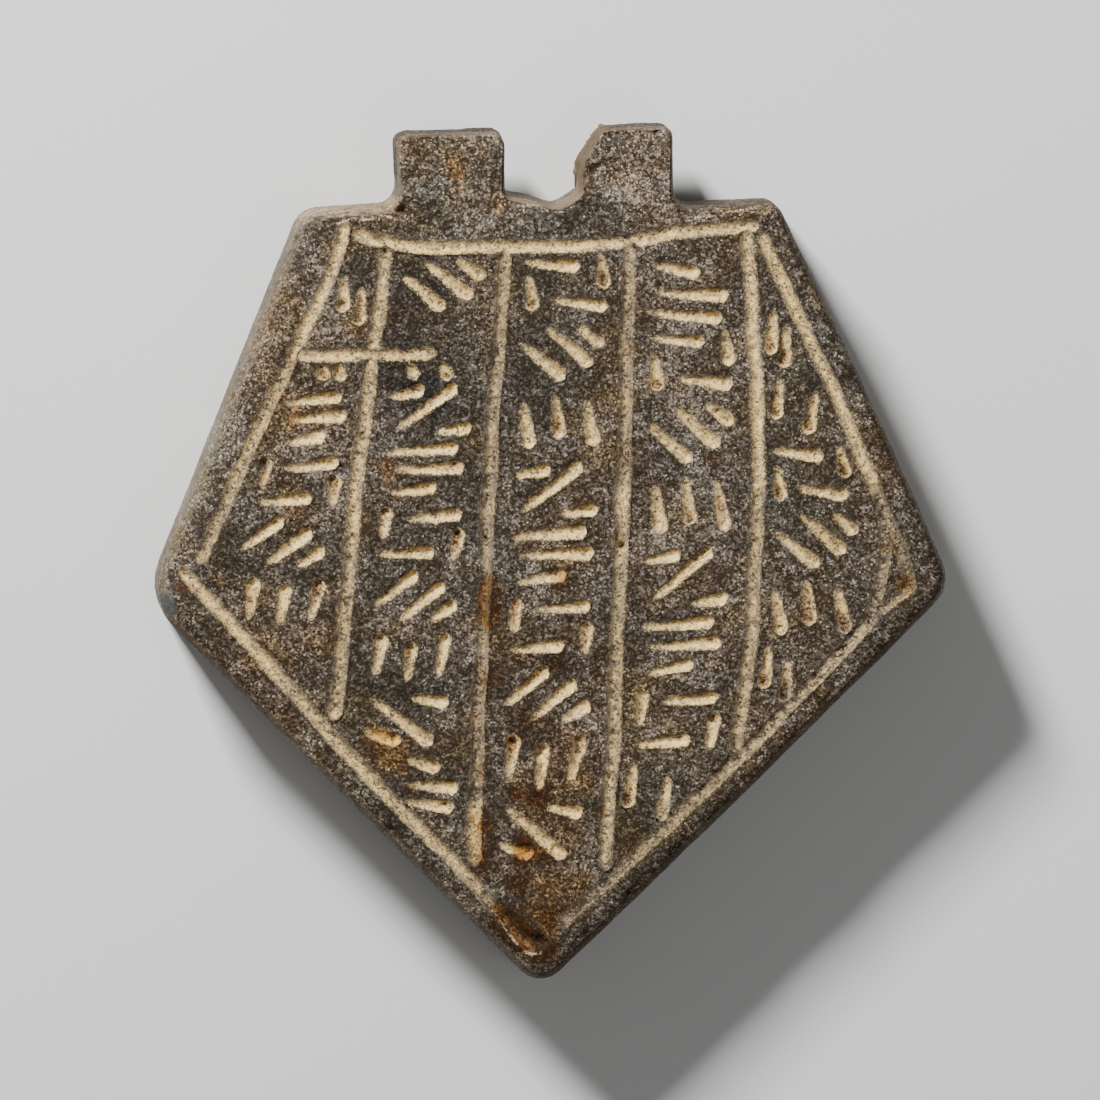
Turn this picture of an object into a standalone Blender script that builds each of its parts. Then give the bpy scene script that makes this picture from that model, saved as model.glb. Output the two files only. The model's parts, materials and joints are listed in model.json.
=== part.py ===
"""Inscribed stone amulet: a five-sided plaque of dark speckled stone, with the two stumps of its
broken suspension lug. It is carved from one stone, so it is one solid.

Metres, +Z up. The amulet lies on its plain back with the carved face up. The lug points along
+Y, and the origin is on the underside, at the middle of the outline's box.
"""

import math
from collections import namedtuple

import bmesh
import bpy
from mathutils import Matrix, Vector

# Plaque, between its corners as they would be before they were rounded
CORNER_SPAN = 0.0615  # left side corner to right side corner
CORNER_TILT = 0.00108  # the right side corner stands this much higher
POINT_DROP = 0.0303  # lower point below the side corners
SHOULDER_RISE = 0.02956  # shoulders above the side corners, where they meet the lug
SHOULDER_SPAN = 0.03614  # left shoulder corner to right shoulder corner
LEFT_SHOULDER_FALL = 0.00045  # the left shoulder drops this much to its corner
RIGHT_SHOULDER_CLIMB = 0.00025  # the right shoulder climbs this much to its corner
MIDLINE_SHIFT = -0.0008  # point, shoulders and lug stand this far to the left of the middle
THICKNESS = 0.0100

# Suspension lug: one block across the top, broken through in the middle
LUG_SPAN = 0.0210  # outer side to outer side at the foot
LUG_SHIFT = -0.00035  # middle of the lug from the midline
LUG_HEIGHT = 0.0058  # top of the lug above the shoulders
LUG_TOP_CLIMB = 0.00065  # the top climbs this much from left to right
LUG_THICKNESS = 0.0066  # flush with the front, so the back is set in
LUG_LEAN = 0.0003  # the left outer side leans out this far at the top
LUG_COVE = 0.0012  # radius of the hollow where the set-in back meets the plaque
NOTCH_WIDTH = 0.00525
NOTCH_SHIFT = 0.00015  # middle of the notch from the midline
NOTCH_FLOOR_RISE = 0.00090  # broken floor above the shoulders, beside the walls
NOTCH_FLOOR_DIP = 0.00100  # depth of the hollow in that floor
LEDGE_DIP = 0.00030  # depth of the ledge on the hollow's left
HOLLOW_PLACE = 0.70  # share of the notch's width from its left wall to the hollow
LEDGE_PLACE = 0.33  # and to the ledge
BREAK_WIDTH = 0.00170  # corner lost from the right stump, across
BREAK_HEIGHT = 0.00260  # and down
CHAMFER_WIDTH = 0.0005  # worn corner of the left stump, across
CHAMFER_HEIGHT = 0.0014  # and down

# Roundings seen from the front
POINT_RADIUS = 0.0022
RIGHT_CORNER_RADIUS = 0.0030
LEFT_CORNER_RADIUS = 0.0046
RIGHT_SHOULDER_RADIUS = 0.0014
LEFT_SHOULDER_RADIUS = 0.0022
LUG_FOOT_RADIUS = 0.0012
LUG_CORNER_RADIUS = 0.0010
NOTCH_RADIUS = 0.0005
HOLLOW_RADIUS = 0.0013
TANGENT_LIMIT = 0.45  # share of the shorter edge beside it that a rounding may take up
LEAST_RADIUS = 0.2  # share of its radius that a rounding keeps where it is inset

# Two long edges are not quite straight: each bulges this much at its middle
RIGHT_SIDE_BULGE = 0.00017
LOWER_RIGHT_BULGE = 0.00015

# Worn front arris: as wide as it shows along each edge, and equally deep all round
LEFT_ARRIS = 0.0023
LOWER_ARRIS = 0.0012
RIGHT_ARRIS = 0.0010
SHOULDER_ARRIS = 0.0009
LUG_ARRIS = 0.0004
ARRIS_DEPTH = 0.0020
BACK_ROUND = 0.0012  # radius of the back edges

# Border rulings: each runs along one side of the plaque through places on it, given as the share
# of the side behind the place and the distance in from the side
BORDER = {
    "left": ("left_side", ((-0.02, 0.0034), (0.13, 0.0037), (0.45, 0.0030), (0.87, 0.0025))),
    "lower_left": (
        "lower_left_side",
        ((-0.01, 0.0038), (0.19, 0.0034), (0.42, 0.0028), (0.58, 0.0025), (0.75, 0.0025), (0.94, 0.0018)),
    ),
    "lower_right": (
        "lower_right_side",
        ((0.10, 0.0029), (0.24, 0.0026), (0.44, 0.0024), (0.58, 0.0024), (0.73, 0.0026), (0.87, 0.0029)),
    ),
    "right_inner": ("right_side", ((0.0, 0.0075), (0.065, 0.0056), (0.155, 0.0037), (0.24, 0.0026))),
    "right": (
        "right_side",
        ((0.028, 0.0064), (0.05, 0.0031), (0.08, 0.0029), (0.26, 0.0026), (0.45, 0.0023), (0.96, 0.0023)),
    ),
    "top_left": ("top_side", ((0.312, 0.0029), (0.71, 0.0029), (0.855, 0.0022), (0.90, 0.0015))),
    "top_right": ("top_side", ((0.04, 0.0017), (0.23, 0.0022), (0.325, 0.0027))),
}

# Rulings between the columns: where each starts on the top side and ends on a lower side, as a
# share and a distance in, and how far it bows to the right at its middle
Divider = namedtuple("Divider", "head foot_side foot bow")
DIVIDERS = (
    Divider((0.825, 0.0027), "lower_left_side", (0.390, 0.0037), -0.0003),
    Divider((0.578, 0.0029), "lower_left_side", (0.750, 0.0033), -0.0003),
    Divider((0.319, 0.0028), "lower_right_side", (0.222, 0.0032), 0.0003),
    Divider((0.075, 0.0019), "lower_right_side", (0.520, 0.0025), 0.0014),
)
DIVIDER_STEPS = 4
BAR_DROP = 0.0112  # a bar crosses the first divider this far below the shoulders
BAR_REACH = 0.0050  # and runs on this far past it

# Columns between the rulings, from the left: where the first and the last row lie between the
# shoulders and the lower point, as shares, and how many rows there are
COLUMNS = ((0.118, 0.500, 6), (0.099, 0.730, 9), (0.099, 0.793, 9), (0.106, 0.743, 8), (0.169, 0.596, 6))
MARK_HALF_WIDTH = 0.0032  # a group of strokes at its widest
MARK_FILL = 0.86  # share of the row pitch that a group fills
COLUMN_MARGIN = 0.0011  # from a group to the middle of the rulings beside it
NARROW_LIMIT = 0.0021  # a group with a smaller half width is the narrow one

# Groups of separate wedge-shaped strokes that stand for the inscription and spell nothing. Each
# stroke runs from its thin end to its wide end, in shares of the group's half width and height.
MARKS = (
    ((-0.85, 0.70, -0.70, -0.95), (-0.12, 0.95, 0.00, -0.65), (0.62, 0.75, 0.85, -0.90)),
    ((-1.00, 0.70, 0.80, 0.92), (-0.80, 0.06, 0.95, 0.20), (-0.85, -0.85, 0.30, -0.50)),
    ((-1.00, -0.35, 0.05, 0.90), (-0.40, -0.90, 0.70, 0.45), (0.35, -0.95, 1.00, -0.25)),
    ((-0.85, 0.80, 0.60, -0.90), (0.10, 0.85, 1.00, 0.65), (-1.00, -0.45, -0.15, -0.75)),
    (
        (-1.00, 0.78, 0.35, 0.62),
        (0.80, 1.00, 0.92, -0.20),
        (-0.35, -0.55, 1.00, -0.75),
        (-0.88, 0.25, -0.78, -0.95),
    ),
)
NARROW_MARK = ((-0.60, 1.00, -0.85, -0.50), (0.85, 0.50, 0.55, -1.00))
MARKS_BELOW_BAR = ((-0.60, -0.34, -0.50, -1.02), (0.15, -0.34, 0.30, -1.02))

# Sections of the carving
RULING_WIDTH = 0.00105
BROAD_RULINGS = {"divider_3": 0.00115, "divider_4": 0.00125}  # widths of the two bolder ones
RULING_DEPTH = 0.00042
RULING_TAPER = 0.0006  # length over which a ruling's end runs out
STROKE_WIDTHS = (0.00118, 0.00104, 0.00112)  # one stroke after another takes the next of these
STROKE_DEPTH = 0.00045
STROKE_THIN_SHARE = 0.5  # of its width and depth that a stroke has at its thin end
STROKE_TAIL = 0.12  # share of a stroke over which its thin end runs out
STROKE_HEAD = 0.00040  # length over which its wide end runs out
CUTTER_CLEARANCE = 0.0004  # cutters stand this much above the face that they cut

# Smoothness of the solid
CORNER_STEPS = 5
BULGE_STEPS = 5
BACK_STEPS = 3
FRONT_STEPS = 4
COVE_STEPS = 5

STONE_COLOUR = (0.060, 0.047, 0.040, 1.0)
STONE_ROUGHNESS = 0.78

# A corner of the outline with its radius, then the arris and bulge of the edge that follows it
Corner = namedtuple("Corner", "x y radius arris bulge", defaults=(0.0,))


def clear_scene():
    for old in list(bpy.data.objects):
        bpy.data.objects.remove(old)


def plaque_sides():
    """The plaque's five straight sides as (start, end), anticlockwise, by name."""
    half_tilt = CORNER_TILT / 2
    point = Vector((MIDLINE_SHIFT, -POINT_DROP))
    right = Vector((CORNER_SPAN / 2, half_tilt))
    right_shoulder = Vector((MIDLINE_SHIFT + SHOULDER_SPAN / 2, SHOULDER_RISE + RIGHT_SHOULDER_CLIMB))
    left_shoulder = Vector((MIDLINE_SHIFT - SHOULDER_SPAN / 2, SHOULDER_RISE - LEFT_SHOULDER_FALL))
    left = Vector((-CORNER_SPAN / 2, -half_tilt))
    return {
        "lower_right_side": (point, right),
        "right_side": (right, right_shoulder),
        "top_side": (right_shoulder, left_shoulder),
        "left_side": (left_shoulder, left),
        "lower_left_side": (left, point),
    }


def lug_corners():
    """The lug's corners, anticlockwise: right stump, broken notch, left stump."""
    middle = MIDLINE_SHIFT + LUG_SHIFT
    right, left = middle + LUG_SPAN / 2, middle - LUG_SPAN / 2
    notch_right = MIDLINE_SHIFT + NOTCH_SHIFT + NOTCH_WIDTH / 2
    notch_left = notch_right - NOTCH_WIDTH
    hollow = notch_left + HOLLOW_PLACE * NOTCH_WIDTH
    ledge = notch_left + LEDGE_PLACE * NOTCH_WIDTH
    floor = SHOULDER_RISE + NOTCH_FLOOR_RISE

    def top(x):
        return SHOULDER_RISE + LUG_HEIGHT + LUG_TOP_CLIMB * (x - middle) / LUG_SPAN

    return [
        Corner(right, SHOULDER_RISE, LUG_FOOT_RADIUS, LUG_ARRIS),
        Corner(right, top(right), LUG_CORNER_RADIUS, LUG_ARRIS),
        Corner(notch_right + BREAK_WIDTH, top(notch_right), LUG_CORNER_RADIUS, LUG_ARRIS),
        Corner(notch_right, top(notch_right) - BREAK_HEIGHT, LUG_FOOT_RADIUS, LUG_ARRIS),
        Corner(notch_right, floor, NOTCH_RADIUS, LUG_ARRIS),
        Corner(hollow, floor - NOTCH_FLOOR_DIP, HOLLOW_RADIUS, LUG_ARRIS),
        Corner(ledge, floor - LEDGE_DIP, HOLLOW_RADIUS, LUG_ARRIS),
        Corner(notch_left, floor, NOTCH_RADIUS, LUG_ARRIS),
        Corner(notch_left, top(notch_left) - CHAMFER_HEIGHT, LUG_FOOT_RADIUS, LUG_ARRIS),
        Corner(notch_left - CHAMFER_WIDTH, top(notch_left), LUG_CORNER_RADIUS, LUG_ARRIS),
        Corner(left - LUG_LEAN, top(left), LUG_CORNER_RADIUS, LUG_ARRIS),
        Corner(left, SHOULDER_RISE, LUG_FOOT_RADIUS, SHOULDER_ARRIS),
    ]


def outline_corners():
    """Every corner of the amulet's outline, anticlockwise from the lower point."""
    start = {name: side[0] for name, side in plaque_sides().items()}
    return [
        Corner(*start["lower_right_side"], POINT_RADIUS, LOWER_ARRIS, LOWER_RIGHT_BULGE),
        Corner(*start["right_side"], RIGHT_CORNER_RADIUS, RIGHT_ARRIS, RIGHT_SIDE_BULGE),
        Corner(*start["top_side"], RIGHT_SHOULDER_RADIUS, SHOULDER_ARRIS),
        *lug_corners(),
        Corner(*start["left_side"], LEFT_SHOULDER_RADIUS, LEFT_ARRIS),
        Corner(*start["lower_left_side"], LEFT_CORNER_RADIUS, LOWER_ARRIS),
    ]


def inward(direction):
    """The inward normal of an edge of an anticlockwise outline."""
    return Vector((-direction.y, direction.x))


def moved_corners(corners, insets):
    """The corners once each edge has moved in by its own inset, and the edges' directions."""
    count = len(corners)
    points = [Vector((c.x, c.y)) for c in corners]
    along = [(points[(i + 1) % count] - points[i]).normalized() for i in range(count)]
    moved = []
    for i in range(count):
        before, after = along[i - 1], along[i]
        start = points[i] + inward(before) * insets[i - 1]
        goal = points[i] + inward(after) * insets[i]
        travel = (goal - start).cross(after) / before.cross(after)
        moved.append(start + before * travel)
    return moved, along


def corner_arc(point, before, after, radius, room):
    """An arc across a corner from one edge to the next, with tangents no longer than the room."""
    turn = math.copysign(before.angle(after), before.cross(after))
    tangent = min(radius * math.tan(abs(turn) / 2), room)
    first = point - before * tangent
    centre = first + inward(before) * (tangent / math.tan(turn / 2))
    arm = first - centre
    step = turn / CORNER_STEPS
    return [centre + Matrix.Rotation(step * i, 2) @ arm for i in range(CORNER_STEPS + 1)]


def ring(corners, insets):
    """The outline's points with every edge moved in by its own inset."""
    moved, along = moved_corners(corners, insets)
    count = len(corners)
    lengths = [(moved[(i + 1) % count] - moved[i]).length for i in range(count)]
    arcs = []
    for i, corner in enumerate(corners):
        before, after = along[i - 1], along[i]
        mean_inset = (insets[i - 1] + insets[i]) / 2
        growth = -mean_inset if before.cross(after) > 0 else mean_inset
        radius = max(corner.radius + growth, LEAST_RADIUS * corner.radius)
        room = TANGENT_LIMIT * min(lengths[i - 1], lengths[i])
        arcs.append(corner_arc(moved[i], before, after, radius, room))
    points = []
    for i, corner in enumerate(corners):
        points += arcs[i]
        if corner.bulge:
            points += bulged(arcs[i][-1], arcs[(i + 1) % count][0], corner.bulge)
    return points


def bulged(start, end, bulge):
    """Points between the ends of an edge, on a shallow curve that bulges outwards."""
    outward = -inward((end - start).normalized())
    points = []
    for step in range(1, BULGE_STEPS):
        share = step / BULGE_STEPS
        points.append(start.lerp(end, share) + outward * (4 * share * (1 - share) * bulge))
    return points


def section_levels():
    """(height, inset of the back, share of the front arris) of each ring, from the back up."""
    levels = []
    for step in range(BACK_STEPS + 1):
        angle = math.pi / 2 * step / BACK_STEPS
        levels.append((BACK_ROUND * (1 - math.cos(angle)), BACK_ROUND * (1 - math.sin(angle)), 0.0))
    for step in range(FRONT_STEPS + 1):
        angle = math.pi / 2 * step / FRONT_STEPS
        levels.append((THICKNESS - ARRIS_DEPTH * (1 - math.sin(angle)), 0.0, 1 - math.cos(angle)))
    return levels


def mesh_object(name, shape):
    """An object made from a bmesh, which is freed."""
    bmesh.ops.recalc_face_normals(shape, faces=shape.faces)
    mesh = bpy.data.meshes.new(name)
    shape.to_mesh(mesh)
    shape.free()
    made = bpy.data.objects.new(name, mesh)
    bpy.context.scene.collection.objects.link(made)
    return made


def make_cutter(name, shape):
    bmesh.ops.triangulate(shape, faces=shape.faces)
    cutter = mesh_object(name, shape)
    cutter.hide_render = True
    cutter.display_type = "WIRE"
    return cutter


def plain_stone(corners):
    """The uncarved stone: rings of the outline bridged from back to front, and capped."""
    shape = bmesh.new()
    rings = []
    for height, back_inset, arris_share in section_levels():
        insets = [back_inset + corner.arris * arris_share for corner in corners]
        rings.append([shape.verts.new((*point, height)) for point in ring(corners, insets)])
    for lower, upper in zip(rings, rings[1:]):
        for i in range(len(lower)):
            j = (i + 1) % len(lower)
            shape.faces.new((lower[i], lower[j], upper[j], upper[i]))
    shape.faces.new(rings[0][::-1])
    shape.faces.new(rings[-1])
    return mesh_object("amulet", shape)


def lug_back_cutter():
    """What is taken from behind the lug: a block along X with a rounded inner edge."""
    inner = THICKNESS - LUG_THICKNESS
    foot = SHOULDER_RISE + NOTCH_FLOOR_RISE
    top = SHOULDER_RISE + LUG_HEIGHT + LUG_TOP_CLIMB + CUTTER_CLEARANCE
    below = -CUTTER_CLEARANCE
    profile = [(foot, below), (top, below), (top, inner)]
    for step in range(COVE_STEPS + 1):
        angle = math.pi / 2 * step / COVE_STEPS
        y = foot + LUG_COVE * (1 - math.sin(angle))
        z = inner - LUG_COVE * (1 - math.cos(angle))
        profile.append((y, z))
    reach = LUG_SPAN / 2 + LUG_LEAN + LUG_FOOT_RADIUS
    shape = bmesh.new()
    start = [shape.verts.new((MIDLINE_SHIFT + LUG_SHIFT - reach, y, z)) for y, z in profile]
    side = shape.faces.new(start)
    pulled = bmesh.ops.extrude_face_region(shape, geom=[side])["geom"]
    far_end = [part for part in pulled if isinstance(part, bmesh.types.BMVert)]
    bmesh.ops.translate(shape, vec=(2 * reach, 0, 0), verts=far_end)
    return make_cutter("lug_back_cutter", shape)


def add_groove(shape, line, width, depth, tail, head, thin_share=1.0):
    """A V-shaped cutter along a line of points. It comes up to the face in a thin point, over the
    tail's length at its start and over the head's length at its end. Between them it grows from
    its thin share to its full width and depth."""
    start, end = line[0], line[-1]
    keel = [
        start + (line[1] - start).normalized() * tail,
        *line[1:-1],
        end + (line[-2] - end).normalized() * head,
    ]
    top = THICKNESS + CUTTER_CLEARANCE
    path = [start, *keel, end]
    left, right, floor, flares = [], [], [], []
    for i, here in enumerate(keel):
        size = thin_share + (1 - thin_share) * i / (len(keel) - 1)
        flares.append((depth * size + CUTTER_CLEARANCE) / (depth * size))
        side = inward((path[i + 2] - path[i]).normalized()) * (width / 2 * size * flares[i])
        left.append(shape.verts.new((*(here + side), top)))
        right.append(shape.verts.new((*(here - side), top)))
        floor.append(shape.verts.new((*here, THICKNESS - depth * size)))
    for i in range(len(keel) - 1):
        shape.faces.new((left[i], floor[i], floor[i + 1], left[i + 1]))
        shape.faces.new((right[i], right[i + 1], floor[i + 1], floor[i]))
        shape.faces.new((left[i], left[i + 1], right[i + 1], right[i]))
    for i, tip in ((0, start), (-1, end)):
        point = shape.verts.new((*(keel[i] + (tip - keel[i]) * flares[i]), top))
        shape.faces.new((point, floor[i], left[i]))
        shape.faces.new((point, right[i], floor[i]))
        shape.faces.new((point, left[i], right[i]))


def place_beside(side, share, inset):
    """A place beside one of the plaque's sides: a share of the way along it, and set in."""
    start, end = side
    return start.lerp(end, share) + inward((end - start).normalized()) * inset


def x_on(line, y):
    """Where a line of points crosses a level, or the x of its nearer end where it doesn't."""
    points = sorted(line, key=lambda point: point.y)
    y = min(max(y, points[0].y), points[-1].y)
    for low, high in zip(points, points[1:]):
        if low.y <= y <= high.y and high.y > low.y:
            return low.x + (high.x - low.x) * (y - low.y) / (high.y - low.y)
    return points[-1].x


def ruling_lines():
    """The ruled lines by name, each as a list of points."""
    sides = plaque_sides()
    lines = {}
    for name, (side, places) in BORDER.items():
        lines[name] = [place_beside(sides[side], *place) for place in places]
    for number, divider in enumerate(DIVIDERS, 1):
        head = place_beside(sides["top_side"], *divider.head)
        foot = place_beside(sides[divider.foot_side], *divider.foot)
        line = []
        for step in range(DIVIDER_STEPS + 1):
            share = step / DIVIDER_STEPS
            line.append(head.lerp(foot, share) + Vector((4 * share * (1 - share) * divider.bow, 0)))
        lines[f"divider_{number}"] = line
    height = SHOULDER_RISE - BAR_DROP
    bar_start = Vector((x_on(lines["left"], height), height))
    bar_end = Vector((x_on(lines["divider_1"], height) + BAR_REACH, height))
    lines["bar"] = [bar_start, bar_end]
    return lines


def ruling_cutters():
    made = []
    for name, line in ruling_lines().items():
        shape = bmesh.new()
        width = BROAD_RULINGS.get(name, RULING_WIDTH)
        add_groove(shape, line, width, RULING_DEPTH, RULING_TAPER, RULING_TAPER)
        made.append(make_cutter(f"{name}_cutter", shape))
    return made


def stroke_lines():
    """Every stroke of the inscription as (thin end, wide end), column by column."""
    lines = ruling_lines()
    bounds = (
        (("left", "lower_left"), ("divider_1",)),
        (("divider_1", "lower_left"), ("divider_2",)),
        (("divider_2", "lower_left"), ("divider_3", "lower_right")),
        (("divider_3",), ("divider_4", "lower_right")),
        (("divider_4",), ("right", "right_inner", "lower_right")),
    )
    plaque_height = SHOULDER_RISE + POINT_DROP
    bar_height = SHOULDER_RISE - BAR_DROP
    strokes = []
    for column, (first, last, rows) in enumerate(COLUMNS):
        pitch = (last - first) * plaque_height / (rows - 1)
        half_height = MARK_FILL * pitch / 2
        left_lines, right_lines = bounds[column]
        for row in range(rows):
            y = SHOULDER_RISE - first * plaque_height - row * pitch
            at_bar = column < 2 and abs(y - bar_height) < pitch / 2
            if at_bar:
                y = bar_height
            levels = (y - half_height / 2, y + half_height / 2)
            left = max(x_on(lines[name], level) for name in left_lines for level in levels)
            right = min(x_on(lines[name], level) for name in right_lines for level in levels)
            half_width = min((right - left) / 2 - COLUMN_MARGIN, MARK_HALF_WIDTH)
            if at_bar:
                mark, flip = MARKS_BELOW_BAR, 1
            elif half_width < NARROW_LIMIT:
                mark, flip = NARROW_MARK, 1
            else:
                mark, flip = MARKS[(2 * column + 3 * row) % len(MARKS)], (-1) ** (column + row)
            middle = Vector(((left + right) / 2, y))
            for x0, y0, x1, y1 in mark:
                start = middle + Vector((x0 * half_width, y0 * half_height * flip))
                end = middle + Vector((x1 * half_width, y1 * half_height * flip))
                strokes.append((start, end))
    return strokes


def stroke_cutter():
    shape = bmesh.new()
    for number, (start, end) in enumerate(stroke_lines()):
        width = STROKE_WIDTHS[number % len(STROKE_WIDTHS)]
        tail = STROKE_TAIL * (end - start).length
        add_groove(shape, [start, end], width, STROKE_DEPTH, tail, STROKE_HEAD, STROKE_THIN_SHARE)
    return make_cutter("strokes_cutter", shape)


def cut(target, cutters, name):
    """A Boolean difference of several cutters, which move to a collection of their own."""
    group = bpy.data.collections.new(name)
    bpy.context.scene.collection.children.link(group)
    for cutter in cutters:
        bpy.context.scene.collection.objects.unlink(cutter)
        group.objects.link(cutter)
    modifier = target.modifiers.new(name, "BOOLEAN")
    modifier.operand_type = "COLLECTION"
    modifier.collection = group
    modifier.operation = "DIFFERENCE"
    modifier.solver = "EXACT"


def stone_material():
    material = bpy.data.materials.new("stone")
    material.use_nodes = True
    surface = material.node_tree.nodes["Principled BSDF"]
    surface.inputs["Base Color"].default_value = STONE_COLOUR
    surface.inputs["Roughness"].default_value = STONE_ROUGHNESS
    surface.inputs["Metallic"].default_value = 0.0
    return material


def main():
    clear_scene()
    corners = outline_corners()
    stone = plain_stone(corners)
    cutters = [lug_back_cutter(), *ruling_cutters(), stroke_cutter()]
    cut(stone, cutters, "carving")
    outline = ring(corners, [0.0] * len(corners))
    middle_x = (min(point.x for point in outline) + max(point.x for point in outline)) / 2
    middle_y = (min(point.y for point in outline) + max(point.y for point in outline)) / 2
    for made in (stone, *cutters):
        made.data.transform(Matrix.Translation((-middle_x, -middle_y, 0)))
    stone.data.materials.append(stone_material())


main()
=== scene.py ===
# %% [markdown]
# # An inscribed stone amulet
#
# The real amulet is one flat, five-sided piece of dark, grainy stone. Its face is ruled into
# columns and scratched full of short strokes, pale earth sits in every cut, and two stumps are
# all that is left of the lug it hung by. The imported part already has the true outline, sizes and
# cuts, so this lesson keeps that form and gives it what a solid with smooth faces can't have:
# ground and worn surfaces, soft cuts, chips, grain and colour.

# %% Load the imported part
import json
import math

import bpy
import numpy as np
from mathutils import Matrix, Vector, kdtree

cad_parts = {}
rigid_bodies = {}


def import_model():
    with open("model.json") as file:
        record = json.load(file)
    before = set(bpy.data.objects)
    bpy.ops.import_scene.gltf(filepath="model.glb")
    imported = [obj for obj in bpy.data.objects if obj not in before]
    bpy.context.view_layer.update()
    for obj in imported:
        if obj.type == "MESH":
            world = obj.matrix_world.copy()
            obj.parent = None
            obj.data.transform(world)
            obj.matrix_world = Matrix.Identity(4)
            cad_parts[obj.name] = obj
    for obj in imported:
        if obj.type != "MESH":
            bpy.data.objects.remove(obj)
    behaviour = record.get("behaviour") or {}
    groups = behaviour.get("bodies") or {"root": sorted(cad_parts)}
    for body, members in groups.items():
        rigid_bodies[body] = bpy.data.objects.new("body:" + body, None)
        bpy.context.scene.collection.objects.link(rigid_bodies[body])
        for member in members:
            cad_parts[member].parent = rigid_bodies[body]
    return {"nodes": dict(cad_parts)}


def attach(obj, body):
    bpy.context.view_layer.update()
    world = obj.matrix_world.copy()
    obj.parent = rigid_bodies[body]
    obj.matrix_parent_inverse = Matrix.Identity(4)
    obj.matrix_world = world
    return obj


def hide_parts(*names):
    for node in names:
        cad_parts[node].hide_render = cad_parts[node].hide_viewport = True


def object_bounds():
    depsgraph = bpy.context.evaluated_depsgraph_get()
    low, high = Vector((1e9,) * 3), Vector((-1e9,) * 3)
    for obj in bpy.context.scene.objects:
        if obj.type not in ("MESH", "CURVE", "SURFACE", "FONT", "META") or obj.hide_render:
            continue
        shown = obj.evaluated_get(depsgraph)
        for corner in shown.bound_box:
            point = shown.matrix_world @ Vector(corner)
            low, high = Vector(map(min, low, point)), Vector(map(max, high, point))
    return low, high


for old in list(bpy.data.objects):
    bpy.data.objects.remove(old)
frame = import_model()
cad_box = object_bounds()
MM = 0.001
TOP = cad_box[1].z  # height of the carved face
print("the packed part measures", [round(side / MM, 2) for side in cad_box[1] - cad_box[0]], "mm")

# %% [markdown]
# ## A copy to work on
#
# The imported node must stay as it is, so the looks go on a copy that stands for it. The node's
# mesh is loose triangles, as an export leaves them. Merging the corners that share a place gives
# one closed skin again, which every later step needs.


# %% Copy and merge
def take_up(piece):
    """Selects one piece alone and makes it the active one, as a click on it would."""
    bpy.ops.object.select_all(action="DESELECT")
    piece.select_set(True)
    bpy.context.view_layer.objects.active = piece


stone = bpy.data.objects.new("amulet_stone", frame["nodes"]["amulet"].data.copy())
bpy.context.scene.collection.objects.link(stone)
take_up(stone)
bpy.ops.object.mode_set(mode="EDIT")
bpy.ops.mesh.select_all(action="SELECT")
bpy.ops.mesh.remove_doubles(threshold=0.001 * MM)
bpy.ops.mesh.normals_make_consistent(inside=False)
bpy.ops.object.mode_set(mode="OBJECT")
print("merged skin:", len(stone.data.vertices), "corners,", len(stone.data.polygons), "faces")

# %% [markdown]
# ## Where the cuts run
#
# Later steps wear the cuts, fill them with earth and chip their edges, so they need to know how
# far any place is from the nearest cut. A ruling's bottom is a chain of edges at one known depth.
# A stroke is a wedge, so its bottom runs from half that depth at the thin end to all of it at the
# wide end. At each end one more edge runs on in the same direction and rises to the face, where
# the scratching tool came out. Points along all these edges go into a search tree. Each notes how
# much narrower its cut is there than at its widest, and how upright the cut runs.

# %% Find the bottoms of the cuts
RULING_DEPTH = 0.42 * MM
STROKE_DEPTH = 0.45 * MM
HALF_RULING = 0.525 * MM  # half the width of a ruling at the face
HALF_STROKE = 0.56 * MM  # and of a stroke at its wide end
THIN_SHARE = 0.5  # of its depth and width that a stroke has at its thin end
POINT_PITCH = 0.08 * MM
DEPTH_MARGIN = 0.004 * MM  # corners this close to a cut's depth are on its bottom
STRAIGHT_ON = -0.9  # below this product, two headings point apart along nearly one line


def sampled(start, end):
    """Points along an edge."""
    steps = max(1, round((end - start).length / POINT_PITCH))
    return [start.lerp(end, step / steps) for step in range(steps + 1)]


def points_along_cuts(depth, half_width, thin_share=1.0):
    """(place, narrowing, uprightness) along every cut of one depth and width."""
    corners = [corner.co.copy() for corner in stone.data.vertices]
    depths = [TOP - place.z for place in corners]
    at_bottom = [min(abs(deep - depth), abs(deep - depth * thin_share)) < DEPTH_MARGIN for deep in depths]
    pairs = [tuple(edge.vertices) for edge in stone.data.edges]
    lines, headings = [], {}
    for one, other in pairs:
        if at_bottom[one] and at_bottom[other]:
            lines.append((one, other))
            heading = (corners[other] - corners[one]).xy.normalized()
            headings.setdefault(one, []).append(heading)
            headings.setdefault(other, []).append(-heading)
    for pair in pairs:
        for low, high in (pair, pair[::-1]):
            if low in headings and not at_bottom[high] and depths[high] < depths[low]:
                onward = (corners[high] - corners[low]).xy.normalized()
                if all(onward.dot(heading) < STRAIGHT_ON for heading in headings[low]):
                    lines.append((low, high))
    found = []
    for one, other in lines:
        upright = abs((corners[other] - corners[one]).xy.normalized().y)
        for place in sampled(corners[one], corners[other]):
            found.append((place, half_width * (1 - (TOP - place.z) / depth), upright))
    return found


def search_tree(points):
    """A tree that finds the nearest of some points, seen from above."""
    tree = kdtree.KDTree(len(points))
    for number, (place, _, _) in enumerate(points):
        tree.insert((place.x, place.y, 0), number)
    tree.balance()
    return tree


ruling_points = points_along_cuts(RULING_DEPTH, HALF_RULING)
stroke_points = points_along_cuts(STROKE_DEPTH, HALF_STROKE, THIN_SHARE)
print(len(ruling_points), "points along the rulings,", len(stroke_points), "along the strokes")

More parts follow.
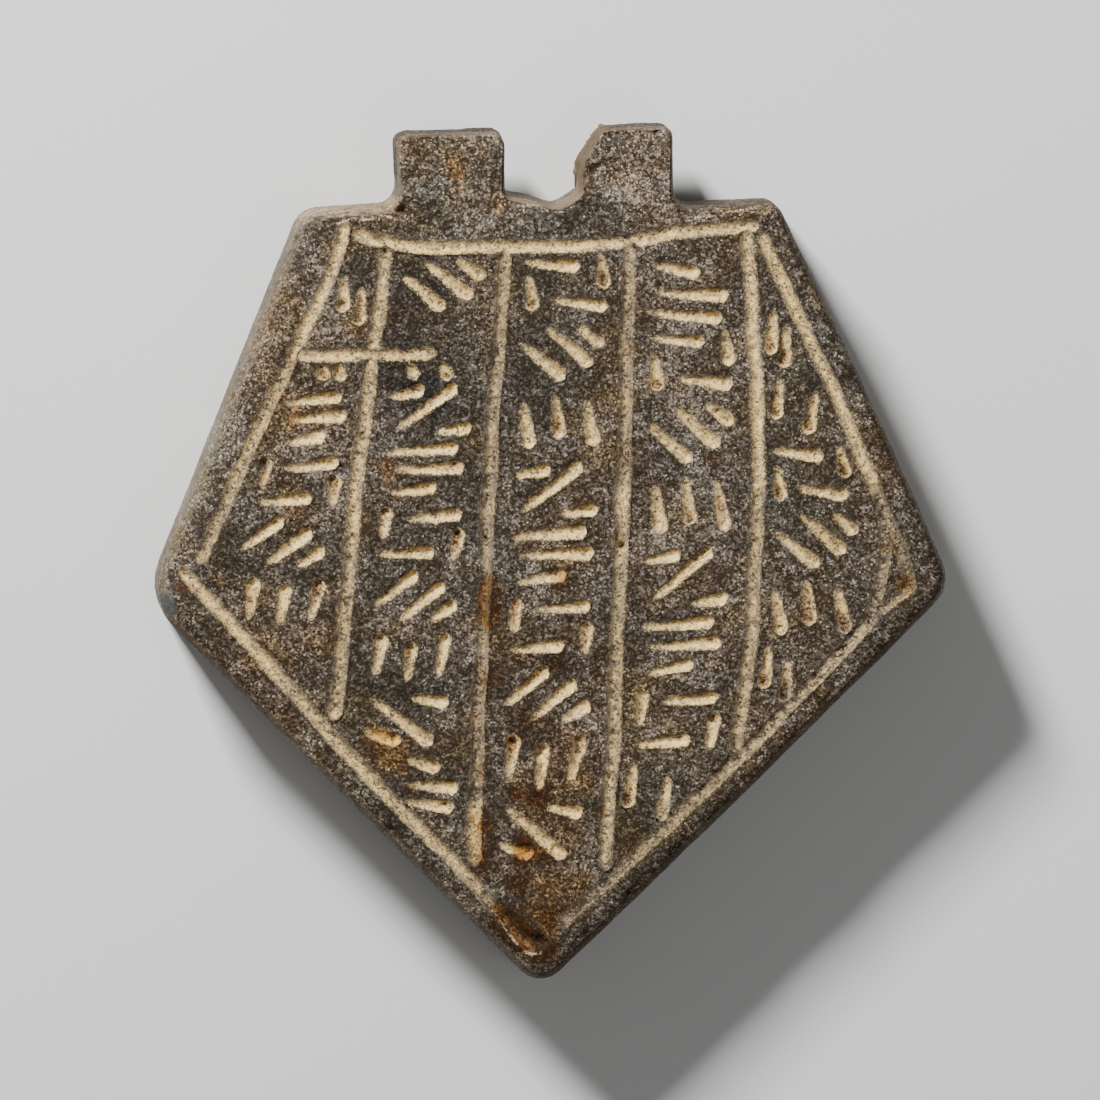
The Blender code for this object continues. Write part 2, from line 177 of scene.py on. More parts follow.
# %% [markdown]
# ## An even skin of small faces
#
# The merged skin has long thin faces that can't bend into worn stone. Subdividing them would
# keep their bad shapes. A voxel remesh lays a new skin of small, even squares over the same form
# instead, fine enough for a cut one millimetre wide to have a soft section.

# %% Remesh
SKIN_PITCH = 0.17 * MM
stone.data.remesh_voxel_size = SKIN_PITCH
stone.data.remesh_voxel_adaptivity = 0.0
take_up(stone)
bpy.ops.object.voxel_remesh()
print("new skin:", len(stone.data.vertices), "corners,", len(stone.data.polygons), "faces")

# %% [markdown]
# ## Maps of the surface
#
# Stone doesn't wear the same everywhere. The cuts hold earth, the edges between the face and the
# sides are rubbed smooth, the walls of the notch are a rough break, and the back was never worked
# with care. Each of these becomes a map: one number for every corner of the skin, which the
# modifiers read as a vertex group and the material reads as an attribute. Most maps come from
# where a corner is and which way the skin faces there, so they follow the form by themselves.


# %% Measure the skin
def all_places():
    """The skin's corners as rows of x, y and z, in millimetres."""
    places = np.empty(len(stone.data.vertices) * 3, np.float32)
    stone.data.vertices.foreach_get("co", places)
    return places.reshape(-1, 3).astype(float) / MM


def all_normals():
    """The direction that the skin faces at each corner."""
    normals = np.empty(len(stone.data.vertices) * 3, np.float32)
    stone.data.vertex_normals.foreach_get("vector", normals)
    return normals.reshape(-1, 3).astype(float)


def rise(values, low, high):
    """0 below low, 1 above high, and a smooth rise between them. High may be the lower one."""
    share = np.clip((values - low) / (high - low), 0, 1)
    return share * share * (3 - 2 * share)


SHADED = np.array((-0.45, 0.89))  # across the face, towards the lamp: that wall of a cut is shaded


def away_from(points, places):
    """How far each place is from the nearest cut's bottom, how far along SHADED, both in mm, and
    how upright that cut is. Where a cut runs out, the distance grows by what it has narrowed."""
    tree = search_tree(points)
    narrowing = np.array([narrowed for _, narrowed, _ in points]) / MM
    uprightness = np.array([upright for _, _, upright in points])
    found = [tree.find((x * MM, y * MM, 0)) for x, y in places[:, :2]]
    nearest = [hit[1] for hit in found]
    bottoms = np.array([hit[0].xy for hit in found]) / MM
    distance = np.array([hit[2] for hit in found]) / MM + narrowing[nearest]
    return distance, (places[:, :2] - bottoms) @ SHADED, uprightness[nearest]


places = all_places()
normals = all_normals()
x_mm, y_mm, z_mm = places.T
below_face = TOP / MM - z_mm
front = rise(below_face, 2.4, 1.6)  # 1 on the face and its worn edges
ruling_distance, ruling_up, _ = away_from(ruling_points, places)
stroke_distance, stroke_up, uprightness = away_from(stroke_points, places)
stroke_distance *= HALF_RULING / HALF_STROKE
is_stroke = stroke_distance < ruling_distance
cut_distance = np.where(is_stroke, stroke_distance, ruling_distance)
cut_up = np.where(is_stroke, stroke_up, ruling_up)
in_cut = front * rise(cut_distance, 0.75, 0.45)
print("share of the skin in cuts:", round(float(in_cut.mean()), 3))

# %% Map the edges, the break and the back
tilt = 1 - normals[:, 2]  # 0 on the face, 1 on an upright side, 2 underneath
off_cut = rise(cut_distance, 0.55, 0.9)
off_floor = rise(z_mm, 0.1, 0.8)
above_bottom = 1 - rise(tilt, 1.2, 1.6)
edge_wear = front * rise(tilt, 0.02, 0.35) * off_cut
side = rise(tilt, 0.55, 0.95) * above_bottom * (1 - 0.6 * rise(y_mm, 27.5, 29.0))
back = rise(below_face, 3.0, 5.5)
in_notch = rise(np.abs(x_mm + 0.70), 3.2, 2.7) * rise(y_mm, 25.9, 26.3)
right_break = rise(np.abs(x_mm - 3.2), 1.6, 0.9) * rise(y_mm, 27.6, 28.4)
broken = np.clip(in_notch + right_break, 0, 1) * rise(tilt, 0.10, 0.45) * rise(z_mm, 2.2, 3.4)
lug = rise(y_mm, 26.4, 27.6) * front
lug_sides = rise(tilt, 0.2, 0.6) * rise(y_mm, 27.8, 29.4) * above_bottom
print("worn edges:", round(float(edge_wear.mean()), 3), "break:", round(float(broken.mean()), 4))

# %% Map the sides by where they face
# Slopes that face +Y, towards the lamp, are lightened in the material: partly paler film, partly painted
# highlight.
upward_film_and_highlight = rise(tilt, 0.12, 0.5) * rise(normals[:, 1], 0.25, 0.6) * rise(y_mm, 24.0, 26.0)
upward_film_and_highlight *= 1 - 0.95 * rise(x_mm, 6.0, 10.0)  # the right shoulder gets hardly any of the paler film or the painted highlight
upward_film_and_highlight *= (1 - 0.85 * lug_sides) * (1 - 0.9 * in_notch)
right_shoulder_painted_shade = rise(tilt, 0.12, 0.4) * rise(x_mm, 9.0, 11.0) * rise(y_mm, 24.6, 25.4)
# Slopes that face down get less of the painted shade below, standing in for light bounced up from below.
downward = rise(-normals[:, 1], 0.15, 0.5) * rise(tilt, 0.9, 0.4)
# Slopes that face right, away from the lamp, and the right shoulder get painted shade in the material.
rightward_painted_shade = rise(normals[:, 0] - 0.6 * normals[:, 1], 0.15, 0.55)
rightward_painted_shade *= 1 - 0.55 * rise(tilt, 0.35, 0.75)
rightward_painted_shade = np.maximum(rightward_painted_shade * (1 - 0.8 * downward), 0.85 * right_shoulder_painted_shade)
print("upward:", round(float(upward_film_and_highlight.mean()), 3), "rightward:", round(float(rightward_painted_shade.mean()), 3))

# %% Store the maps
LEAST_WEIGHT = 0.002  # a vertex group leaves out smaller weights
FAR_OFF = 3.0  # mm, the cut distance that counts as no cut at all


def set_group(name, weights):
    """Stores a map as a vertex group, for a modifier to read."""
    group = stone.vertex_groups.new(name=name)
    for number in np.flatnonzero(weights > LEAST_WEIGHT):
        group.add([int(number)], float(weights[number]), "REPLACE")


def set_attribute(name, values):
    """Stores a map as an attribute, for the material to read. It also outlasts the thinning."""
    attribute = stone.data.attributes.new(name, "FLOAT", "POINT")
    attribute.data.foreach_set("value", values.astype(np.float32))


ground = np.clip(1 - 0.75 * edge_wear - 0.6 * back, 0, 1) * off_floor
for_modifiers = {
    "cuts": in_cut,
    "ground": ground,
    "grainy": ground * (1 - 0.5 * in_cut),
    "edges": np.clip(edge_wear + 0.5 * rise(tilt, 0.3, 0.7), 0, 1) * off_floor,
    "break_walls": broken,
    "cut_lips": front * rise(cut_distance, 0.82, 0.62) * rise(cut_distance, 0.36, 0.52),
    "carved_field": front * rise(tilt, 0.9, 0.5) * rise(np.abs(x_mm), 29.5, 27.0),
}
for_material = {
    "cut_distance": np.clip(cut_distance, 0, FAR_OFF) + FAR_OFF * (1 - front),
    # which wall of a cut faces the lamp: below 0 on the lit wall and above 0 on the wall turned away, for
    # the earth's painted highlight and painted shade
    "painted_light_and_shade_wall": np.clip(cut_up / 0.45, -1, 1) * in_cut,
    "stroke": is_stroke * in_cut,
    "upright_stroke": is_stroke * in_cut * rise(uprightness, 0.80, 0.95),
    "edge_wear": edge_wear,
    "side": side,
    "upward_film_and_highlight": upward_film_and_highlight,
    "rightward_painted_shade": rightward_painted_shade,
    "lug": lug,
    "broken": broken,
    "lug_sides": lug_sides,
}
for name, weights in for_modifiers.items():
    set_group(name, weights)
for name, values in for_material.items():
    set_attribute(name, values)
print("maps for the modifiers:", list(for_modifiers))
print("maps for the material:", list(for_material))

# %% [markdown]
# ## Soft cuts and a wandering hand
#
# A cut scratched with a hard point has a rounded bottom and never runs quite straight. The Smooth
# modifier, held to the cuts by their vertex group, rounds the sharp bottoms. A Displace modifier
# with a colour texture then pushes the carved field sideways by about a tenth of a millimetre,
# because a texture with three channels moves a place along three axes.


# %% Smooth and shift
def apply_last():
    """Applies the stone's newest modifier, as the Apply button does."""
    take_up(stone)
    bpy.ops.object.modifier_apply(modifier=stone.modifiers[-1].name)


def clouds(name, size, depth=1, contrast=1.0):
    """A cloud texture whose blotches have one size, in metres."""
    texture = bpy.data.textures.new(name, "CLOUDS")
    texture.noise_scale = size
    texture.noise_depth = depth
    texture.contrast = contrast
    return texture


def displace(texture, depth, group, mid=0.5, direction="NORMAL"):
    """Pushes one map's places along their normals by a texture, and makes it permanent."""
    layer = stone.modifiers.new(texture.name, "DISPLACE")
    layer.texture = texture
    layer.texture_coords = "LOCAL"
    layer.strength = depth
    layer.mid_level = mid
    layer.direction = direction
    layer.vertex_group = group
    apply_last()


soften = stone.modifiers.new("soften", "SMOOTH")
soften.vertex_group = "cuts"
soften.factor = 0.5
soften.iterations = 2
apply_last()
wander = clouds("wander", 4.0 * MM)
wander.cloud_type = "COLOR"
displace(wander, 0.34 * MM, "carved_field", direction="RGB_TO_XYZ")
print("cuts softened and shifted")

# %% [markdown]
# ## Uneven, worn and grainy
#
# Three sizes of unevenness make a ground stone believable: broad hollows from the grinding, small
# ones from wear, and the grain itself. Each is a cloud texture of its own size. The middle level
# is 1, so a texture only takes stone away and the amulet never grows past its true size.

# %% Displace the stone
displace(clouds("ground_hollows", 8 * MM), 0.18 * MM, "ground", mid=1.0)
displace(clouds("worn_hollows", 2.4 * MM, depth=2), 0.10 * MM, "ground", mid=1.0)
displace(clouds("rubbed_edges", 3.0 * MM, depth=2), 0.12 * MM, "edges", mid=1.0)
displace(clouds("ragged_lips", 0.5 * MM, contrast=2.0), 0.06 * MM, "cut_lips", mid=1.0)
displace(clouds("grain", 0.42 * MM, depth=2, contrast=1.6), 0.09 * MM, "grainy", mid=1.0)
displace(clouds("earth_grain", 0.40 * MM, contrast=1.5), 0.07 * MM, "cuts")
print("unevenness added")

# %% [markdown]
# ## The rough break and the chips
#
# Where the lug's bore burst, the stone broke in small shell-like facets. A Voronoi texture has
# that look, because its cells meet in sharp ridges. The same texture with a colour ramp that keeps
# only the cells' middles makes scattered pits.

# %% Break and pit the stone
facets = bpy.data.textures.new("break_facets", "VORONOI")
facets.noise_scale = 1.3 * MM
facets.noise_intensity = 0.7
displace(facets, 0.18 * MM, "break_walls", mid=1.0)
pits = bpy.data.textures.new("pits", "VORONOI")
pits.noise_scale = 1.5 * MM
pits.use_color_ramp = True
for stop, position, shade in zip(pits.color_ramp.elements, (0.10, 0.22), (0, 1)):
    stop.position = position
    stop.color = (shade, shade, shade, 1)
displace(pits, 0.10 * MM, "grainy", mid=1.0)
print("break and pits added")

# %% [markdown]
# ## Marks of its own
#
# Some marks belong to this amulet alone: a shallow pocket at the left corner, pits on and beside
# the rulings, a scored line at the lower point, and chips where the shoulders meet the lug. A
# sculptor would press them in with a small brush. One helper does what such a brush does: it
# lowers the skin along a line of places, most in the middle and less towards the brush's rim.
# Another fills cuts up again, because earth has settled in the rulings, and wear has nearly
# levelled them near the lower point and at the right corner.


# %% Brushes
def gap_to_line(skin, line):
    """How far the skin's corners are from a line of (x, y) places, seen from above, in mm."""
    nearest = np.full(len(skin), 1e9)
    for start, end in zip(line, line[1:] or line):
        start, run = np.array(start), np.subtract(end, start)
        along = np.clip((skin[:, :2] - start) @ run / max(run @ run, 1e-9), 0, 1)
        gap = skin[:, :2] - start - along[:, None] * run
        nearest = np.minimum(nearest, np.hypot(*gap.T))
    return nearest


def move_to(skin):
    """Puts the skin's corners at new places, given in millimetres."""
    stone.data.vertices.foreach_set("co", (skin * MM).astype(np.float32).ravel())
    stone.data.update()


def press(line, reach, depth):
    """Lowers the front of the skin along a line of (x, y) places, all in millimetres."""
    skin = all_places()
    skin[:, 2] -= depth * rise(gap_to_line(skin, line), reach, 0) * rise(skin[:, 2], 6.0, 8.0)
    move_to(skin)


LEFT_OPEN = 0.12  # mm below the face that earth never fills


def silt(shares):
    """Fills up the cuts by a share of their depth, which may differ from place to place."""
    skin = all_places()
    room = np.clip(TOP / MM - LEFT_OPEN - skin[:, 2], 0, 0.5) * rise(TOP / MM - skin[:, 2], 1.2, 0.8)
    skin[:, 2] += room * shares
    move_to(skin)


# %% Let earth settle in the rulings
RULING_FILL = 0.35
# where wear has nearly levelled a ruling: its places, reach and the share filled up
LEVELLED = (
    (((-0.6, -28.8), (6.4, -22.6), (10.0, -19.2)), 1.0, 0.45),  # lower right, near the point
    (((25.0, 1.6), (25.2, -0.9), (24.1, -5.1)), 0.7, 0.30),  # the two at the right corner
    (((26.2, 1.6), (27.3, -1.4), (27.2, -2.7), (24.9, -3.6)), 0.7, 0.30),
)
silt(RULING_FILL * in_cut * ~is_stroke)
for line, reach, share in LEVELLED:
    silt(share * rise(gap_to_line(all_places(), line), 1.6 * reach, reach))
print("rulings filled by", RULING_FILL, "and more at", len(LEVELLED), "places")

# %% Press in single marks
RULING_PIT = (5.26, 0.58)  # on the third divider
LEFT_PITS = ((-18.3, 21.9), (-20.9, 16.8))  # beside the left ruling
VEIN = ((2.4, 28.6), (3.5, 29.5), (4.6, 29.7))  # crosses the right stump
# each mark's places, reach and depth
MARKS = (
    (((-28.4, -1.8),), 1.5, 0.35),  # pocket at the left corner
    ((RULING_PIT,), 0.46, 0.55),
    (LEFT_PITS[:1], 0.40, 0.22),
    (LEFT_PITS[1:], 0.40, 0.22),
    (((-3.7, -27.7), (-2.4, -29.1), (-0.9, -29.5)), 0.75, 0.30),  # scored line at the point
    (((-16.4, 25.7), (-12.9, 26.2), (-11.6, 26.0)), 0.8, 0.30),  # rubbed edge of the left shoulder
    (((-12.8, 25.9), (-11.4, 25.9)), 0.7, 0.25),  # chip at the left stump's outer foot
    (((9.8, 26.0), (10.6, 25.8)), 0.8, 0.4),  # chip at the right stump's outer foot
    (((-2.9, 26.8), (-1.0, 26.4), (1.4, 26.5)), 0.7, 0.35),  # bitten edge under the notch
    (VEIN, 0.45, 0.13),
)
for line, reach, depth in MARKS:
    press(line, reach, depth)
print("single marks pressed in:", len(MARKS))

# %% [markdown]
# ## Back inside the box, and thinned
#
# The Decimate modifier merges faces where the surface is nearly flat. It keeps the small faces
# for the cuts and the grain, and the mesh stays light. Nothing may stand outside the packed part's
# box, and the underside has to lie flat, so every corner is then held inside that box.

# %% Thin and hold
MOST_TRIANGLES = 196000
thin = stone.modifiers.new("thin", "DECIMATE")
thin.ratio = MOST_TRIANGLES / (2 * len(stone.data.polygons))
apply_last()
move_to(np.clip(all_places(), np.array(cad_box[0]) / MM, np.array(cad_box[1]) / MM))
bpy.ops.object.shade_smooth()
stone.vertex_groups.clear()
triangles = sum(len(face.vertices) - 2 for face in stone.data.polygons)
print("thinned to", triangles, "triangles")

# %% [markdown]
# ## Where the stains are
#
# Centuries in the ground left rust, ochre, brown and grey patches. Each is a place, a reach and a
# strength, and its strength fades towards its rim. All the places of one colour add up to one
# map, so the material stays simple. What follows a line is given by its places instead: rulings
# that have lost earth, cuts whose earth has turned to rust, bright lips of chips and pits, and a
# few smooth inclusions. The maps are stored after the thinning, on the final corners.

# %% Round stains
# each as x, y, reach and strength, the first three in millimetres
STAINS = {
    "ochre": (
        (-7.7, 30.4, 2.4, 0.5), (-7.1, 29.0, 2.0, 0.5), (-10.3, 28.9, 2.0, 0.5), (-7.8, 27.0, 2.6, 0.4),
        (7.4, 29.0, 2.4, 0.4), (-12.0, -15.3, 3.2, 0.8), (-13.4, -13.6, 2.4, 0.7), (-10.6, -18.0, 2.0, 0.5),
        (-19.4, 10.6, 2.2, 0.6), (-22.0, 5.6, 2.2, 0.5), (-25.4, -1.8, 1.8, 0.6), (-12.5, 6.5, 2.2, 0.7),
        (-9.8, 9.8, 1.8, 0.4), (0.4, 14.0, 2.6, 0.3), (-1.6, -27.4, 2.8, 0.8), (-0.2, -28.6, 1.4, 0.9),
        (-20.6, 0.6, 2.4, 0.4), (-4.0, 26.4, 1.6, 0.5), (26.6, -2.3, 1.4, 1.0), (-1.2, 2.6, 1.8, 0.3),
        (25.4, 0.6, 2.0, 0.6), (-20.8, 11.8, 1.6, 0.5), (-1.4, -22.6, 2.0, 0.6), (-3.4, -14.6, 1.6, 0.5),
        (2.2, -13.8, 1.4, 0.5), (-2.8, -18.2, 1.2, 0.6), (1.8, -19.6, 1.2, 0.5), (-6.0, -12.4, 1.2, 0.5),
    ),
    "rust": (
        (-2.0, -13.0, 3.0, 0.6), (-1.2, -18.6, 1.8, 0.8), (-2.6, -25.2, 1.7, 0.8), (-2.6, -28.6, 1.5, 0.9),
        (-4.2, -27.0, 1.3, 1.0), (-5.3, -20.6, 1.2, 1.0), (-5.5, -23.0, 1.0, 0.9), (-1.0, -29.4, 1.2, 0.9),
        (-2.2, -22.0, 1.3, 1.0), (3.6, -19.4, 1.0, 0.7), (0.2, -8.4, 1.6, 0.8), (0.5, -1.9, 1.3, 0.8),
        (-5.0, -2.7, 1.1, 0.8), (-4.8, -9.6, 2.0, 0.6), (-1.9, 4.2, 1.6, 0.5), (-27.8, -2.4, 1.2, 0.6),
        (-20.0, 1.8, 1.6, 0.4), (-19.8, 14.6, 1.4, 0.5), (12.1, 7.1, 1.2, 0.6), (-9.6, 10.6, 1.2, 0.5),
        (-28.5, -2.4, 0.9, 0.7), (26.8, -2.0, 1.6, 0.5), (6.0, -22.0, 2.4, 0.3), (-2.4, -23.0, 1.5, 1.0),
        (-0.6, -23.0, 1.4, 0.6), (-3.1, -18.1, 1.2, 0.7), (-0.4, -27.4, 1.4, 0.5), (-18.6, 20.8, 1.2, 0.4),
        (-5.6, -16.4, 1.6, 0.5),
    ),
    "slate": (
        (-10.1, 20.2, 4.2, 1.0), (-11.6, 14.8, 4.8, 0.8), (-9.2, 11.6, 3.6, 0.8), (-14.4, 21.4, 3.0, 0.6),
        (1.6, 1.4, 1.8, 0.6), (-0.6, -0.6, 1.8, 0.4), (14.0, 20.0, 3.4, 0.4), (4.0, 18.0, 3.0, 0.5),
        (-14.6, 2.2, 2.4, 0.4), (-12.2, 10.4, 3.0, 0.3), (12.4, 13.6, 3.0, 0.4), (1.4, 8.4, 2.6, 0.4),
        (-22.4, 8.6, 2.0, 0.4),
    ),
    "umber": (
        (24.6, 6.0, 5.0, 0.6), (20.6, -5.4, 6.0, 0.5), (14.6, -14.0, 5.0, 0.5), (-23.0, -8.6, 4.0, 0.5),
        (-8.6, 30.6, 3.0, 0.4), (-9.0, -20.0, 4.0, 0.5), (26.0, 9.6, 3.0, 0.6), (0.0, 6.4, 3.0, 0.5),
        (0.6, -17.0, 7.0, 0.8), (0.4, -26.0, 5.0, 0.8), (-19.4, 3.6, 4.6, 0.6), (-22.4, -3.0, 4.0, 0.6),
        (-18.6, 9.6, 5.0, 0.5), (-15.6, 17.4, 3.4, 0.4), (-28.6, 2.4, 4.0, 0.5), (-17.0, 11.0, 3.0, 0.4),
        (-1.0, -21.0, 4.0, 0.6), (-17.6, -6.4, 4.0, 0.5),
    ),
    "pale": (
        (-20.6, 24.6, 3.6, 0.3), (15.0, 16.4, 3.4, 0.4), (11.6, 9.4, 5.4, 0.7), (-7.6, 26.4, 3.4, 0.5),
        (11.0, 2.0, 4.4, 0.5), (-18.8, 8.6, 5.4, 0.7), (-16.8, 17.4, 3.0, 0.4), (-22.0, 3.4, 3.6, 0.5),
        (-20.0, -2.0, 3.0, 0.4), (6.6, 26.8, 3.4, 0.6), (8.6, 2.2, 3.0, 0.35), (-23.6, 6.2, 3.6, 0.2),
        (10.0, -8.4, 3.0, 0.3), (-25.2, 8.4, 3.8, 1.0), (-28.7, -2.3, 1.8, 0.6), (-22.6, 17.0, 3.0, 0.3),
        (-28.4, 4.4, 3.4, 0.8), (-2.0, 26.4, 3.0, 0.4),
    ),
}


def spots(stains, skin):
    """Adds up the soft round spots of one colour over the skin."""
    total = np.zeros(len(skin))
    for x, y, reach, strength in stains:
        total += strength * rise(np.hypot(skin[:, 0] - x, skin[:, 1] - y), reach, 0)
    return np.clip(total, 0, 1)


final_skin = all_places()
stain_maps = {colour: spots(stains, final_skin) for colour, stains in STAINS.items()}
for colour, stains in STAINS.items():
    print(colour, "stains:", len(stains))


# %% Worn and rusty cuts
def along_lines(lines, skin):
    """The strongest of some lines on the front, each given as (places, reach, strength)."""
    strongest = np.zeros(len(skin))
    for line, reach, strength in lines:
        near = rise(gap_to_line(skin, line), reach * 1.6, reach * 0.6)
        strongest = np.maximum(strongest, strength * near)
    return strongest * rise(skin[:, 2], 5.0, 7.0)


# rulings that have lost part of their earth, each as its places, reach and strength
WORN_CUTS = (
    # between the columns, from the left
    (((-13.0, 22.0), (-14.4, 4.0)), 0.9, 0.30),
    (((-14.8, 1.0), (-16.0, -11.0)), 0.9, 0.55),
    (((-4.2, 22.0), (-4.8, 4.0)), 0.9, 0.68),
    (((-4.9, 2.0), (-6.2, -18.0)), 0.9, 0.85),
    (((5.4, 22.0), (5.6, 6.0)), 0.9, 0.70),
    (((5.5, 2.0), (4.6, -8.0), (4.0, -22.0)), 0.9, 0.50),
    (((15.9, 4.0), (15.6, -2.0), (14.0, -14.0)), 0.9, 0.52),
    # along the left side and the lower left one, down to the point
    (((-15.4, 23.0), (-19.6, 14.0)), 0.9, 0.30),
    (((-19.6, 14.0), (-22.4, 7.0), (-26.0, 0.0)), 0.9, 0.70),
    (((-20.0, -9.4), (-14.4, -15.0), (-9.0, -21.0), (-4.0, -26.0)), 0.9, 0.30),
    (((-6.4, -24.0), (-5.0, -25.8)), 0.9, 0.45),
    (((-4.8, -26.0), (-3.9, -27.2)), 0.9, 0.75),
    (((-3.7, -27.4), (-2.4, -29.0), (-1.2, -30.4)), 1.0, 0.80),
    # from the point up the lower right side
    (((0.0, -28.4), (3.6, -25.2)), 1.3, 1.3),
    (((3.6, -25.2), (6.4, -22.6)), 1.1, 0.85),
    (((6.4, -22.6), (14.0, -15.2), (24.1, -5.1)), 1.1, 0.80),
    # at the right corner, and along the top
    (((25.2, 4.4), (25.2, -0.9), (24.1, -5.1)), 0.9, 0.95),
    (((25.4, 3.6), (27.3, -1.4), (27.2, -2.7), (24.9, -3.6)), 0.9, 0.95),
    (((6.4, 22.6), (15.0, 24.5)), 0.9, 0.25),
)
# cuts whose earth has turned to rust
RUSTY_CUTS = (
    (((-3.7, -27.7), (-2.3, -29.2), (-0.8, -30.1)), 1.0, 1.0),
    (((-5.4, -20.2), (-5.5, -23.6)), 0.9, 0.55),
    (((-4.8, -2.4), (-4.9, -4.8)), 0.9, 0.7),
    (VEIN, 0.22, 0.4),
)
stain_maps["worn_cut"] = along_lines(WORN_CUTS, final_skin)
stain_maps["rust"] = np.maximum(stain_maps["rust"], along_lines(RUSTY_CUTS, final_skin))
print("worn cuts:", len(WORN_CUTS), "rusty cuts:", len(RUSTY_CUTS))


# %% Pale lips and inclusions
def ring_around(place, radius):
    """The rim of a small pit, as a closed line of places."""
    turns = [math.radians(60 * step) for step in range(7)]
    return tuple((place[0] + radius * math.cos(turn), place[1] + radius * math.sin(turn)) for turn in turns)


# bright rims of pits, and lips of chips and of the scored line
PALE_LIPS = (
    (ring_around(RULING_PIT, 0.42), 0.07, 0.7),
    (ring_around(LEFT_PITS[0], 0.36), 0.06, 0.6),
    (ring_around(LEFT_PITS[1], 0.36), 0.06, 0.6),
    (((-28.9, -1.0), (-27.9, -0.9)), 0.14, 0.6),
    (((-16.4, 25.1), (-15.3, 25.5), (-13.9, 25.4), (-12.8, 25.7), (-11.8, 25.4)), 0.10, 0.6),
    (((-3.4, 26.7), (-2.4, 26.4), (-1.4, 26.5), (-0.4, 26.0), (0.5, 25.9), (1.7, 26.4)), 0.10, 0.55),
    (((10.1, 25.3), (12.7, 25.8), (15.4, 26.2)), 0.14, 0.5),
    (((-6.2, -24.7), (-4.6, -27.0)), 0.13, 0.66),
    (((-4.6, -27.0), (-3.3, -28.9), (-2.7, -29.6)), 0.12, 0.62),
    (((-2.2, -30.2), (-1.6, -30.4), (-0.9, -30.3)), 0.12, 0.60),
)
# smooth grey-blue inclusions in the stone
INCLUSIONS = (
    (((-29.3, -3.3), (-28.9, -4.1)), 0.50, 1.0),
    (((4.7, 31.5), (5.2, 31.2)), 0.30, 0.9),
    (((8.3, 30.9), (8.5, 30.7)), 0.30, 0.7),
)
stain_maps["pale_lip"] = along_lines(PALE_LIPS, final_skin)
stain_maps["inclusion"] = along_lines(INCLUSIONS, final_skin)
for name, values in stain_maps.items():
    set_attribute(name, values)
print("stain maps:", list(stain_maps))

# %% [markdown]
# ## Building the stone's material
#
# The stone's look is many small grains of different minerals under several broad tints. All of
# it is made from noise on the piece's own coordinates, so it stays put when the piece or the
# camera moves. A few helpers keep the node code readable: each adds a node or a row of them and
# hands back the output, so a pattern reads like a sum.

# %% Helpers for nodes
finish = bpy.data.materials.new("dark_grainy_stone")
finish.use_nodes = True
nodes = finish.node_tree.nodes
links = finish.node_tree.links
surface = nodes["Principled BSDF"]


def feed(socket, value):
    """Gives an input a fixed value, or a link from another node's output."""
    if isinstance(value, bpy.types.NodeSocket):
        links.new(value, socket)
    else:
        socket.default_value = value


def math_of(operation, first, second):
    """One step of arithmetic on two values."""
    made = nodes.new("ShaderNodeMath")
    made.operation = operation
    feed(made.inputs[0], first)
    feed(made.inputs[1], second)
    return made.outputs[0]


def added(*values):
    """Some values added up."""
    total = values[0]
    for value in values[1:]:
        total = math_of("ADD", total, value)
    return total


def times(*values):
    """Some values multiplied."""
    product = values[0]
    for value in values[1:]:
        product = math_of("MULTIPLY", product, value)
    return product


def rest_of(value):
    """What a value leaves of 1."""
    return math_of("SUBTRACT", 1.0, value)


def spread_of(value, low, high, new_low=0.0, new_high=1.0):
    """A smooth rise from one number to another while a value goes from low to high."""
    made = nodes.new("ShaderNodeMapRange")
    made.interpolation_type = "SMOOTHSTEP"
    for socket, number in zip(made.inputs, (value, low, high, new_low, new_high)):
        feed(socket, number)
    return made.outputs[0]


def mixed(share, first, second, blend="MIX"):
    """Two colours mixed by a share."""
    made = nodes.new("ShaderNodeMix")
    made.data_type = "RGBA"
    made.blend_type = blend
    feed(made.inputs["Factor"], share)
    feed(made.inputs[6], first)
    feed(made.inputs[7], second)
    return made.outputs[2]


def map_named(name):
    """One of the skin's stored maps."""
    made = nodes.new("ShaderNodeAttribute")
    made.attribute_name = name
    return made.outputs["Fac"]


# %% Patterns in millimetres
coordinates = nodes.new("ShaderNodeTexCoord")
in_millimetres = nodes.new("ShaderNodeVectorMath")
in_millimetres.operation = "SCALE"
in_millimetres.inputs["Scale"].default_value = 1 / MM
links.new(coordinates.outputs["Object"], in_millimetres.inputs[0])
millimetres = in_millimetres.outputs[0]


def noise_of(size, detail=2.0, roughness=0.5, shift=0.0):
    """Cloudy noise around 0.5 with blotches of one size. A shift gives a different part of it."""
    moved = nodes.new("ShaderNodeVectorMath")
    moved.inputs[1].default_value = (shift, shift, shift)
    links.new(millimetres, moved.inputs[0])
    made = nodes.new("ShaderNodeTexNoise")
    made.inputs["Scale"].default_value = 1 / size
    made.inputs["Detail"].default_value = detail
    made.inputs["Roughness"].default_value = roughness
    links.new(moved.outputs[0], made.inputs["Vector"])
    return made.outputs["Fac"]


def crystals_of(size):
    """Grains of one size: two random numbers for each grain."""
    made = nodes.new("ShaderNodeTexVoronoi")
    made.inputs["Scale"].default_value = 1 / size
    links.new(millimetres, made.inputs["Vector"])
    parts = nodes.new("ShaderNodeSeparateColor")
    links.new(made.outputs["Color"], parts.inputs[0])
    return parts.outputs[0], parts.outputs[1]


